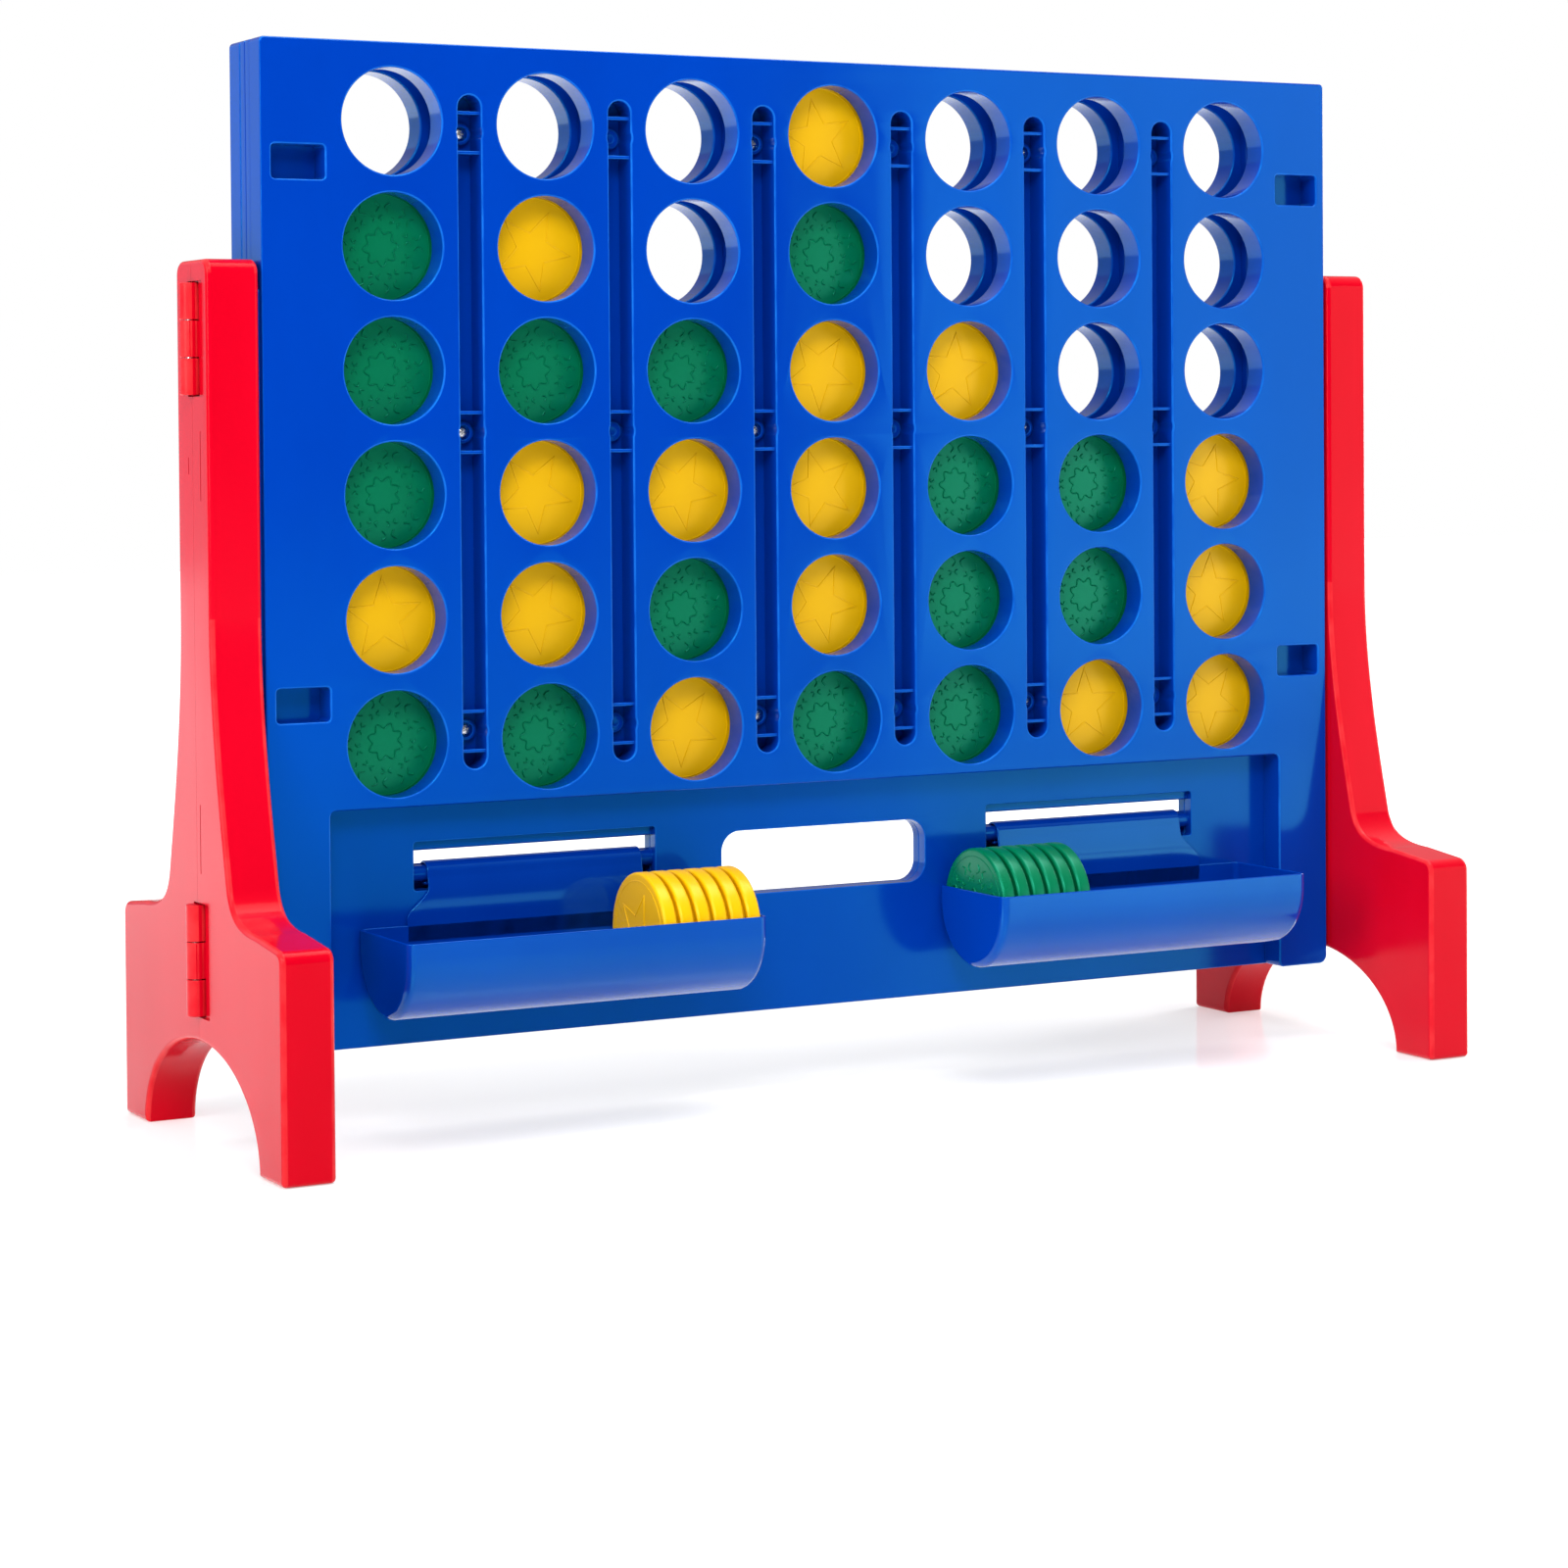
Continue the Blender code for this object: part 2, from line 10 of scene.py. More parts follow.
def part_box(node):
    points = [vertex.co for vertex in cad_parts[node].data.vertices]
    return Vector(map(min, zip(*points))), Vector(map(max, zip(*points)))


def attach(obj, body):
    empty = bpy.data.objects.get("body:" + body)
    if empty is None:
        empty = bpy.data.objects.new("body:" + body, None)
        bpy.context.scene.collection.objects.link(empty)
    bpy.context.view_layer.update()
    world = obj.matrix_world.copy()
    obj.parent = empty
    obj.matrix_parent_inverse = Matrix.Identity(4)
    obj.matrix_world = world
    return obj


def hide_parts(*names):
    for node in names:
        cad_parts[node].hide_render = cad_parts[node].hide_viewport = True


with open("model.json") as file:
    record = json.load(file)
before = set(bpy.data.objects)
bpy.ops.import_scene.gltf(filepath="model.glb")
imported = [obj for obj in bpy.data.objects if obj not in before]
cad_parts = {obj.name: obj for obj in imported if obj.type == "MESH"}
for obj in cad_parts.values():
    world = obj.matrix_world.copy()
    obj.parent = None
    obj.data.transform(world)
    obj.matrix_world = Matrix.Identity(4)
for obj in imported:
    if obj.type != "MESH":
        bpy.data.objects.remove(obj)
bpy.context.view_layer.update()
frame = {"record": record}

# The giant four in a row: two glossy blue grid shells between red folding feet, with
# yellow and green discs. Metres, +Z up, -Y is the front. Places come from the frame.

# ---- sizes of the mouldings, which the frame's boxes don't give ------------------
HOLE_RADIUS = 0.0456
FACE_DEPTH = 0.0253
HALF_GAP = 0.00015
RAIL_OUT = 0.0027
RAIL_HALF_DEPTH = 0.0300
RAIL_SPAN = (0.160, 0.720)
SEAM_INSET = 0.0005
FACE_ROUND = 0.0015          # rounded edges of the moulding
POST_WIDTH = 0.0565
SLOT_WIDTH = 0.0215
SLOT_HALF_LENGTH = 0.289
SLOT_RIB_THICKNESS = 0.0030
SLOT_RIB_OFFSET = 0.0170
SLOT_RIB_DEPTH = 0.0035
SCREW_SPREAD = 0.257         # upper and lower screws from the middle of the grid
SCREW_HEAD_RADIUS = 0.0046
BOSS_RADIUS = 0.0118
BOSS_HEIGHT = 0.0060         # above the slot's floor
POCKET = (0.0480, 0.0290)
POCKET_RISE = 0.228
POCKET_INSET = 0.0335
WINDOW = (0.2320, 0.0420)
WINDOW_DROP = 0.0345
SOFFIT = 0.0080              # bar under the window's top edge
HANDLE = (0.2120, 0.0575)
HANDLE_DROP = 0.0435
HANDLE_RADIUS = 0.018
DISC_CLEARANCE = 0.0008
ROD_RADIUS = 0.0070
TRAY_WALL = 0.0025
TRAY_LIP = 0.014
HANGER_LENGTH = 0.206
HANGER_FLARE = 0.021
FOOT_ROUND = 0.0042
FOOT_TOP_CORNER = 0.0120
FOOT_UPRIGHT_HALF = 0.0380
FLARE_TOP = 0.446
FILLET_TOP = 0.226
FOOT_HEIGHT = 0.194
FOOT_TOE_CORNER = 0.0110
FOOT_FALL = 0.0055
ARCH = (0.138, 0.090)
KNUCKLE_RADIUS = 0.0090
KNUCKLE_ROOM = 0.0006
KNUCKLE_GAP = 0.0008
PIN_RADIUS = 0.0040
PIN_COVER = 0.0030           # end of a knuckle's bore left closed over the pin
HINGE_RECESS = 0.0035        # deep
HINGE_RECESS_FRONT = 0.0265  # reaches this far in front of the seam

ON_FRONT = Matrix.Rotation(math.pi / 2, 4, "X")           # outline (x, z), thick along Y
ON_SIDE = Matrix(((0, 0, 1, 0), (1, 0, 0, 0), (0, 1, 0, 0), (0, 0, 0, 1)))  # (y, z) along X


# ---- places from the frame --------------------------------------------------------
def corners(node):
    low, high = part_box(node)
    return Vector(low), Vector(high)


def middle(node):
    low, high = corners(node)
    return (low + high) / 2


BODIES = frame["record"]["behaviour"]["bodies"]
SLOTS = {part["node"]: part["material_slot"] for part in frame["record"]["subparts"]}
BODY_OF = {node: body for body, nodes in BODIES.items() for node in nodes}
COLUMN_X = [middle(f"column_{c}_disc_1").x for c in range(1, 8)]
ROW_Z = [middle(f"column_4_disc_{r}").z for r in range(1, 7)]
PANEL_LOW, PANEL_HIGH = corners("front_panel")
BOARD_HALF = PANEL_HIGH.x - RAIL_OUT
BOARD_FACE = PANEL_LOW.y
BOARD_BOTTOM, BOARD_TOP = PANEL_LOW.z, PANEL_HIGH.z
GRID_Z = (ROW_Z[0] + ROW_Z[-1]) / 2
DISC_LOW, DISC_HIGH = corners("column_1_disc_1")
DISC_RADIUS = (DISC_HIGH.z - DISC_LOW.z) / 2
DISC_HALF = (DISC_HIGH.y - DISC_LOW.y) / 2
SHELF_Z = DISC_LOW.z - 2 * HALF_GAP
CHANNEL_FACE = BOARD_FACE + FACE_DEPTH
LOWER_HALF = BOARD_HALF - POST_WIDTH
SCREW_ZS = (GRID_Z - SCREW_SPREAD, GRID_Z, GRID_Z + SCREW_SPREAD)
SLOT_XS = [(a + b) / 2 for a, b in zip(COLUMN_X, COLUMN_X[1:])]


# ---- outlines ---------------------------------------------------------------------
def arc(cx, cy, radius, start, end, steps):
    turns = [math.radians(start + (end - start) * i / steps) for i in range(steps + 1)]
    return [(cx + radius * math.cos(a), cy + radius * math.sin(a)) for a in turns]


def circle(cx, cy, radius, sides):
    return arc(cx, cy, radius, 0, 360, sides)[:-1]


def round_box(cx, cy, width, height, radius, steps=6):
    dx, dy = width / 2 - radius, height / 2 - radius
    turns = ((dx, dy, 0), (-dx, dy, 90), (-dx, -dy, 180), (dx, -dy, 270))
    return [p for x, y, a in turns for p in arc(cx + x, cy + y, radius, a, a + 90, steps)]


def span_box(left, right, bottom, top, radius):
    return round_box((left + right) / 2, (bottom + top) / 2, right - left, top - bottom, radius)


def bezier(a, b, c, d, steps):
    made = []
    for i in range(1, steps + 1):
        t = i / steps
        s = 1 - t
        weights = (s * s * s, 3 * s * s * t, 3 * s * t * t, t * t * t)
        made.append(tuple(sum(w * p[k] for w, p in zip(weights, (a, b, c, d))) for k in (0, 1)))
    return made


def rounded(points, radii, steps=5):
    """A polygon with each corner turned into an arc of its radius."""
    made = []
    count = len(points)
    for i, (point, radius) in enumerate(zip(points, radii)):
        here = Vector(point)
        back = (Vector(points[i - 1]) - here).normalized()
        ahead = (Vector(points[(i + 1) % count]) - here).normalized()
        turn = math.acos(max(-1, min(1, back.dot(ahead))))
        reach = radius / math.tan(turn / 2)
        centre = here + (back + ahead).normalized() * radius / math.sin(turn / 2)
        start, end = here + back * reach - centre, here + ahead * reach - centre
        for k in range(steps + 1):
            spot = centre + start.lerp(end, k / steps).normalized() * radius
            made.append((spot.x, spot.y))
    return made


# ---- meshes -----------------------------------------------------------------------
def linked(name, data):
    obj = bpy.data.objects.new(name, data)
    bpy.context.scene.collection.objects.link(obj)
    return obj


def evaluated_mesh(obj):
    return bpy.data.meshes.new_from_object(obj.evaluated_get(bpy.context.evaluated_depsgraph_get()))


def moulded(name, loops, low, high, turn, round_edge, steps=3):
    """A flat outline with holes, made solid from low to high, with every edge rounded."""
    curve = bpy.data.curves.new(name, "CURVE")
    curve.dimensions = "2D"
    curve.fill_mode = "BOTH"
    curve.extrude = (high - low) / 2 - round_edge
    curve.bevel_depth = round_edge
    curve.bevel_resolution = steps - 1
    curve.offset = -round_edge
    for loop in loops:
        spline = curve.splines.new("POLY")
        spline.points.add(len(loop) - 1)
        spline.use_cyclic_u = True
        for point, (u, v) in zip(spline.points, loop):
            point.co = (u, v, 0, 1)
    drawn = linked(name + "_outline", curve)
    mesh = evaluated_mesh(drawn)
    bpy.data.objects.remove(drawn)
    mesh.transform(turn @ Matrix.Translation((0, 0, (low + high) / 2)))
    clean = bmesh.new()
    clean.from_mesh(mesh)
    bmesh.ops.remove_doubles(clean, verts=clean.verts, dist=2e-5)
    bmesh.ops.recalc_face_normals(clean, faces=clean.faces)
    clean.to_mesh(mesh)
    clean.free()
    return linked(name, mesh)


def on_front(name, loops, front, back, round_edge, steps=3):
    return moulded(name, loops, -back, -front, ON_FRONT, round_edge, steps)


def on_side(name, loops, left, right, round_edge, steps=3):
    return moulded(name, loops, left, right, ON_SIDE, round_edge, steps)


def turned(name, profile, start, direction, sides=48):
    """A lathe piece: profile pairs are (radius, distance along direction from start)."""
    rings = []
    shape = bmesh.new()
    for radius, along in profile:
        if radius < 1e-6:
            rings.append([shape.verts.new((0, 0, along))])
            continue
        turns = [2 * math.pi * i / sides for i in range(sides)]
        rings.append([shape.verts.new((radius * math.cos(a), radius * math.sin(a), along))
                      for a in turns])
    for ring, after in zip(rings, rings[1:]):
        for i in range(sides):
            j = (i + 1) % sides
            spots = [ring[i % len(ring)], ring[j % len(ring)], after[j % len(after)],
                     after[i % len(after)]]
            shape.faces.new(list(dict.fromkeys(spots)))
    bmesh.ops.recalc_face_normals(shape, faces=shape.faces)
    turn = Vector(direction).to_track_quat("Z", "Y").to_matrix().to_4x4()
    shape.transform(Matrix.Translation(start) @ turn)
    mesh = bpy.data.meshes.new(name)
    shape.to_mesh(mesh)
    shape.free()
    return linked(name, mesh)


def bar_profile(radius, length, chamfer):
    """A solid round bar with rounded ends."""
    nose = [(radius - chamfer + x, chamfer - z) for x, z in arc(0, 0, chamfer, 0, 90, 4)]
    low = [(r, z) for r, z in reversed(nose)]
    high = [(r, length - z) for r, z in nose]
    return [(0, 0)] + low + high + [(0, length)]


def cut(obj, other, operation="DIFFERENCE"):
    change = obj.modifiers.new("cut", "BOOLEAN")
    change.operation = operation
    change.solver = "EXACT"
    change.object = other
    mesh = evaluated_mesh(obj)
    obj.modifiers.clear()
    obj.data = mesh
    bpy.data.objects.remove(other)
    return obj


def join(name, pieces):
    """Several meshes as one object."""
    shape = bmesh.new()
    for piece in pieces:
        piece.data.transform(piece.matrix_world)
        shape.from_mesh(piece.data)
        bpy.data.objects.remove(piece)
    mesh = bpy.data.meshes.new(name)
    shape.to_mesh(mesh)
    shape.free()
    return linked(name, mesh)


def mark_rims(obj, axis):
    """Gives each face of the small roundings along an axis' edges a rim value of 1, the mask for the
    painted edge highlight.
    """
    mesh = obj.data
    rim = mesh.attributes.new("rim", "FLOAT", "FACE")
    for face, value in zip(mesh.polygons, rim.data):
        lean = abs(face.normal[axis])
        value.value = 1.0 if 0.15 < lean < 0.98 and face.area < 0.0003 else 0.0


def shade(obj, angle=40):
    """Smooth over the rounded edges, with the flats kept flat."""
    obj.data.shade_smooth()
    obj.data.set_sharp_from_angle(angle=math.radians(angle))
    flats = obj.modifiers.new("flats", "WEIGHTED_NORMAL")
    flats.keep_sharp = True
    flats.weight = 80
    return obj


def finish_piece(obj, node, material):
    """Gives a piece its material, and lets it stand for its CAD node."""
    obj.data.materials.clear()
    obj.data.materials.append(material)
    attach(obj, BODY_OF[node])
    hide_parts(node)


# ---- materials --------------------------------------------------------------------
class Nodes:
    """Short calls for building one material's node tree."""

    def __init__(self, name):
        self.material = bpy.data.materials.new(name)
        self.material.use_nodes = True
        self.tree = self.material.node_tree
        self.shader = self.tree.nodes["Principled BSDF"]

    def add(self, kind, **settings):
        node = self.tree.nodes.new(kind)
        for key, value in settings.items():
            if hasattr(node, key):
                setattr(node, key, value)
            else:
                node.inputs[key.replace("_", " ")].default_value = value
        return node

    def link(self, out, into):
        self.tree.links.new(out, into)

    def object_coordinates(self, scale=(1, 1, 1)):
        mapping = self.add("ShaderNodeMapping")
        mapping.inputs["Scale"].default_value = scale
        self.link(self.add("ShaderNodeTexCoord").outputs["Object"], mapping.inputs["Vector"])
        return mapping.outputs["Vector"]

    def noise(self, where, scale, detail=2.0, roughness=0.5):
        node = self.add("ShaderNodeTexNoise", Scale=scale, Detail=detail, Roughness=roughness)
        self.link(where, node.inputs["Vector"])
        return node.outputs["Fac"]

    def remap(self, value, low, high, new_low, new_high):
        node = self.add("ShaderNodeMapRange")
        for key, number in zip(("From Min", "From Max", "To Min", "To Max"),
                               (low, high, new_low, new_high)):
            node.inputs[key].default_value = number
        self.link(value, node.inputs["Value"])
        return node.outputs["Result"]

    def mix(self, factor, first, second):
        node = self.add("ShaderNodeMix", data_type="RGBA")
        if isinstance(factor, float):
            node.inputs["Factor"].default_value = factor
        else:
            self.link(factor, node.inputs["Factor"])
        for value, socket in ((first, node.inputs[6]), (second, node.inputs[7])):
            if isinstance(value, tuple):
                socket.default_value = (*value, 1.0)
            else:
                self.link(value, socket)
        return node.outputs[2]

    def maths(self, operation, first, second):
        node = self.add("ShaderNodeMath", operation=operation)
        for value, socket in zip((first, second), node.inputs):
            if isinstance(value, float):
                socket.default_value = value
            else:
                self.link(value, socket)
        return node.outputs["Value"]

    def bump(self, height, distance, strength=1.0, under=None):
        node = self.add("ShaderNodeBump", Strength=strength, Distance=distance)
        self.link(height, node.inputs["Height"])
        if under is not None:
            self.link(under, node.inputs["Normal"])
        return node.outputs["Normal"]


GRAIN_DEPTH = 0.00003


def plastic(name, colour, streak, highlight_and_wear, sheen, gloss, wave, ior=1.49, specular=0.5):
    """Moulded plastic: flow-mark colour drift, a gently wavy gloss, fine grain, and a painted highlight
    line on the rounded edges, patchy like rub wear, which also roughens them.
    """
    n = Nodes(name)
    plain = n.object_coordinates()
    flow = n.noise(n.object_coordinates((1.0, 1.0, 0.35)), 5.0, 4.0, 0.55)
    body = n.mix(n.remap(flow, 0.35, 0.7, 0.0, 1.0), colour, streak)
    # the rim faces take the fourth colour: a painted highlight along the rounded edges, made patchy like
    # rub wear
    rim = n.add("ShaderNodeAttribute", attribute_name="rim").outputs["Fac"]
    patchy = n.remap(n.noise(plain, 45.0, 3.0), 0.35, 0.65, 0.35, 1.0)
    rubbed_and_highlit = n.maths("MULTIPLY", rim, patchy)
    n.link(n.mix(n.maths("MULTIPLY", rubbed_and_highlit, 0.22), body, highlight_and_wear), n.shader.inputs["Base Color"])
    clouds = n.remap(n.noise(plain, 9.0, 3.0), 0.3, 0.7, *gloss)
    scuffs = n.noise(n.object_coordinates((9.0, 9.0, 160.0)), 6.0, 2.0)
    dulled = n.maths("ADD", clouds, n.remap(scuffs, 0.66, 0.74, 0.0, 0.07))
    n.link(n.maths("ADD", dulled, n.maths("MULTIPLY", rubbed_and_highlit, 0.08)), n.shader.inputs["Roughness"])
    slow = n.bump(n.noise(plain, 6.5, 1.0), wave)
    fine = n.bump(n.noise(plain, 700.0, 2.0), GRAIN_DEPTH, 0.6, slow)
    n.link(fine, n.shader.inputs["Normal"])
    n.shader.inputs["IOR"].default_value = ior
    n.shader.inputs["Specular IOR Level"].default_value = specular
    n.shader.inputs["Specular Tint"].default_value = (*sheen, 1.0)
    return n.material


def steel(name):
    n = Nodes(name)
    plain = n.object_coordinates()
    tone = n.remap(n.noise(plain, 900.0, 3.0), 0.3, 0.7, 0.0, 1.0)
    n.link(n.mix(tone, (0.62, 0.62, 0.63), (0.40, 0.40, 0.42)), n.shader.inputs["Base Color"])
    n.link(n.remap(n.noise(plain, 400.0, 2.0), 0.3, 0.7, 0.16, 0.34), n.shader.inputs["Roughness"])
    n.link(n.bump(n.noise(plain, 1500.0, 2.0), 0.00004, 0.5), n.shader.inputs["Normal"])
    n.shader.inputs["Metallic"].default_value = 1.0
    return n.material


# each plastic's fourth colour is the painted highlight on its rounded edges, partly rub wear
BLUE = plastic("glossy_blue_plastic", (0.0, 0.025, 0.265), (0.0, 0.031, 0.300),
               (0.02, 0.24, 0.85), (0.02, 0.70, 1.0), gloss=(0.12, 0.15), wave=0.0007)
TRAY_BLUE = plastic("polished_blue_plastic", (0.0, 0.025, 0.265), (0.0, 0.031, 0.300),
                    (0.05, 0.30, 0.90), (0.10, 0.80, 1.0), gloss=(0.08, 0.10), wave=0.0002, ior=1.56)
RED = plastic("glossy_red_plastic", (0.44, 0.0, 0.008), (0.50, 0.001, 0.012), (0.90, 0.10, 0.09),
              (1.0, 0.22, 0.18), gloss=(0.12, 0.17), wave=0.0010, specular=0.22)
YELLOW = plastic("satin_yellow_plastic", (0.66, 0.35, 0.0), (0.71, 0.40, 0.0),
                 (0.98, 0.70, 0.08), (1.0, 0.80, 0.25), gloss=(0.26, 0.32), wave=0.0003)
GREEN = plastic("satin_green_plastic", (0.0, 0.110, 0.040), (0.0, 0.135, 0.052),
                (0.02, 0.40, 0.22), (0.10, 1.0, 0.75), gloss=(0.26, 0.32), wave=0.0003)
STEEL = steel("plain_steel")
DISC_MATERIAL = {"yellow_disc": YELLOW, "green_disc": GREEN}


# ---- board ------------------------------------------------------------------------
def slot_side(x, side):
    """One long edge of a slot, which bows out round each screw boss, from the bottom up."""
    half = SLOT_WIDTH / 2
    end = SLOT_HALF_LENGTH - half
    bow = math.sqrt(BOSS_RADIUS ** 2 - half ** 2)
    points = []
    for z in SCREW_ZS:
        for k in range(-4, 5):
            rise = bow * k / 4
            out = math.sqrt(BOSS_RADIUS ** 2 - rise ** 2)
            points.append((x + side * out, z + rise))
    low, high = (x + side * half, GRID_Z - end), (x + side * half, GRID_Z + end)
    return [low] + points + [high]


def slot_loop(x):
    half = SLOT_WIDTH / 2
    end = SLOT_HALF_LENGTH - half
    top = arc(x, GRID_Z + end, half, 0, 180, 14)[1:-1]
    bottom = arc(x, GRID_Z - end, half, 180, 360, 14)[1:-1]
    return slot_side(x, 1) + top + slot_side(x, -1)[::-1] + bottom


def face_loops():
    edge, low, shelf = BOARD_HALF, BOARD_BOTTOM, SHELF_Z - 0.001
    outline = rounded([(-edge, low), (-LOWER_HALF, low), (-LOWER_HALF, shelf), (LOWER_HALF, shelf),
                       (LOWER_HALF, low), (edge, low), (edge, BOARD_TOP), (-edge, BOARD_TOP)],
                      (0.008, 0.005, 0.005, 0.005, 0.005, 0.008, 0.004, 0.004))
    holes = [circle(x, z, HOLE_RADIUS, 80) for x in COLUMN_X for z in ROW_Z]
    pockets = [round_box(sx * (BOARD_HALF - POCKET_INSET), GRID_Z + sz * POCKET_RISE, *POCKET, 0.0035)
               for sx in (-1, 1) for sz in (-1, 1)]
    return [outline] + holes + [slot_loop(x) for x in SLOT_XS] + pockets


def core_loops():
    half = DISC_RADIUS + DISC_CLEARANCE
    side, bottom, top = BOARD_HALF - SEAM_INSET, BOARD_BOTTOM + SEAM_INSET, BOARD_TOP - SEAM_INSET
    comb = [(-side, bottom), (side, bottom), (side, top)]
    for x in reversed(COLUMN_X):
        comb += [(x + half, top), (x + half, SHELF_Z), (x - half, SHELF_Z), (x - half, top)]
    comb.append((-side, top))
    window_z = SHELF_Z - WINDOW_DROP - WINDOW[1] / 2
    windows = [round_box(middle(f"{w}_tray").x, window_z, *WINDOW, 0.0025) for w in ("left", "right")]
    handle_z = SHELF_Z - HANDLE_DROP - HANDLE[1] / 2
    handle = round_box(0, handle_z, *HANDLE, HANDLE_RADIUS, 12)
    return [rounded(comb, [0.0015] * len(comb), 3)] + windows + [handle]


def slot_furniture(x, open_boss):
    """Cross ribs either side of each screw, and the screw's boss, inside one slot."""
    made = []
    floor = CHANNEL_FACE + 0.0005
    for z in SCREW_ZS:
        for side in (-1, 1):
            rib_z = z + side * SLOT_RIB_OFFSET
            loop = span_box(x - SLOT_WIDTH / 2 - 0.001, x + SLOT_WIDTH / 2 + 0.001,
                            rib_z - SLOT_RIB_THICKNESS / 2, rib_z + SLOT_RIB_THICKNESS / 2, 0.0010)
            made.append(on_front("rib", [loop], BOARD_FACE + SLOT_RIB_DEPTH, floor, 0.0009))
        wall, bore = 0.0095, 0.0062
        if open_boss:
            top = BOSS_HEIGHT
            profile = [(wall, 0), (wall, top - 0.001), (wall - 0.001, top), (bore + 0.0008, top),
                       (bore, top - 0.0008), (bore, 0.0015), (0, 0.0015)]
        else:
            top = BOSS_HEIGHT
            profile = [(wall, 0), (wall, top - 0.003)]
            profile += [(wall - 0.003 + a, top - 0.003 + b) for a, b in arc(0, 0, 0.003, 0, 90, 5)]
            profile += [(bore - 0.002, top), (bore - 0.003, top - 0.0012), (0, top - 0.0016)]
        made.append(turned("boss", profile, (x, floor, z), (0, -1, 0), 40))
    return made


def shell(name):
    """One half of the board, as it faces the front."""
    face = on_front("face", face_loops(), BOARD_FACE, CHANNEL_FACE + 0.0002, FACE_ROUND)
    core = on_front("core", core_loops(), CHANNEL_FACE, -HALF_GAP, 0.0010, 2)
    rails = []
    for side in (-1, 1):
        ends = sorted((side * (BOARD_HALF - 0.006), side * (BOARD_HALF + RAIL_OUT)))
        rails.append(on_front("rail", [span_box(*ends, *RAIL_SPAN, 0.003)],
                              -RAIL_HALF_DEPTH, -HALF_GAP - SEAM_INSET, 0.0015))
    furniture = []
    for i, x in enumerate(SLOT_XS):
        furniture += slot_furniture(x, i % 2 == 0)
    whole = join(name, [face, core, *rails, *furniture])
    mark_rims(whole, 1)
    return shade(whole)


def screw_mesh():
    """A pan-head screw with a cross recess, its head's top at the origin facing -Y."""
    head = SCREW_HEAD_RADIUS
    profile = [(0, -0.006), (head * 0.45, -0.006), (head * 0.45, -0.0030), (head, -0.0030),
               (head, -0.0018), (head * 0.86, -0.0007), (head * 0.55, -0.0001), (0, 0)]
    screw = turned("screw", profile, (0, 0, 0), (0, -1, 0), 32)
    for angle in (0.4, 0.4 + math.pi / 2):
        blade = on_front("blade", [span_box(-head * 0.58, head * 0.58, -head * 0.11, head * 0.11,
                                            head * 0.08)], -0.003, 0.0016, 0.0001, 1)
        blade.data.transform(Matrix.Rotation(angle, 4, "Y"))
        cut(screw, blade)
    screw.data.shade_smooth()
    screw.data.set_sharp_from_angle(angle=math.radians(30))
    mesh = screw.data
    mesh.materials.clear()
    mesh.materials.append(STEEL)
    bpy.data.objects.remove(screw)
    return mesh


def board():
    """Both shells, the back one turned round from the front one, and their screws."""
    front = shell("front_grid_shell")
    back = linked("back_grid_shell", front.data.copy())
    back.data.transform(Matrix.Rotation(math.pi, 4, "Z"))
    shade(back)
    finish_piece(front, "front_panel", BLUE)
    finish_piece(back, "back_panel", BLUE)
    mesh = screw_mesh()
    seat = CHANNEL_FACE - 0.0045
    for facing, turn in (("front", 0.0), ("back", math.pi)):
        places = [(x, z) for i, x in enumerate(SLOT_XS) if i % 2 == 0 for z in SCREW_ZS]
        for number, (x, z) in enumerate(places):
            screw = linked(f"{facing}_shell_screw_{number + 1}", mesh)
            spin = Matrix.Rotation(random.uniform(0, math.pi), 4, "Y")
            screw.matrix_world = (Matrix.Rotation(turn, 4, "Z")
                                  @ Matrix.Translation((x, seat, z)) @ spin)
            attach(screw, "board")


# ---- discs ------------------------------------------------------------------------
RIM = 0.0028                 # radius of a disc's rounded shoulder
CROWN = 0.0009               # how far a disc's face falls from its middle to its shoulder


def face_height(radius):
    """Height of a disc's crowned face above its middle plane."""
    return DISC_HALF - 0.0007 - CROWN * (radius / DISC_RADIUS) ** 2


def disc_body(name):
    shoulder = DISC_RADIUS - RIM
    top = face_height(shoulder)
    half = [(shoulder * i / 10, face_height(shoulder * i / 10)) for i in range(11)]
    half += [(shoulder + RIM * math.sin(a), top - RIM + RIM * math.cos(a))
             for a in (math.pi / 2 * k / 7 for k in range(1, 8))]
    profile = half + [(r, -z) for r, z in reversed(half)]
    return turned(name, profile, (0, 0, 0), (0, -1, 0), 72)


def bead(path, width=0.0016, height=0.0009, closed=True):
    """A raised line on both faces of a disc, along a path of (x, z) points."""
    section = [(-0.5, -0.4), (-0.34, 0.7), (0, 1.0), (0.34, 0.7), (0.5, -0.4)]
    shape = bmesh.new()
    for face in (-1, 1):
        rings = []
        count = len(path)
        for i, point in enumerate(path):
            here = Vector(point)
            back = here - Vector(path[i - 1]) if closed or i else Vector(path[1]) - here
            ahead = (Vector(path[(i + 1) % count]) - here if closed or i < count - 1
                     else here - Vector(path[i - 1]))
            back.normalize()
            ahead.normalize()
            along = (back + ahead).normalized()
            across = Vector((-along.y, along.x)) / max(0.5, along.dot(ahead))
            ring = []
            for offset, rise in section:
                spot = here + across * offset * width
                level = face_height(spot.length) + rise * height
                ring.append(shape.verts.new((spot.x, face * level, spot.y)))
            rings.append(ring)
        last = count if closed else count - 1
        for i in range(last):
            a, b = rings[i], rings[(i + 1) % count]
            for k in range(len(section)):
                j = (k + 1) % len(section)
                shape.faces.new((a[k], a[j], b[j], b[k]))
        if not closed:
            shape.faces.new(rings[0])
            shape.faces.new(rings[-1])
    bmesh.ops.recalc_face_normals(shape, faces=shape.faces)
    mesh = bpy.data.meshes.new("bead")
    shape.to_mesh(mesh)
    shape.free()
    return linked("bead", mesh)


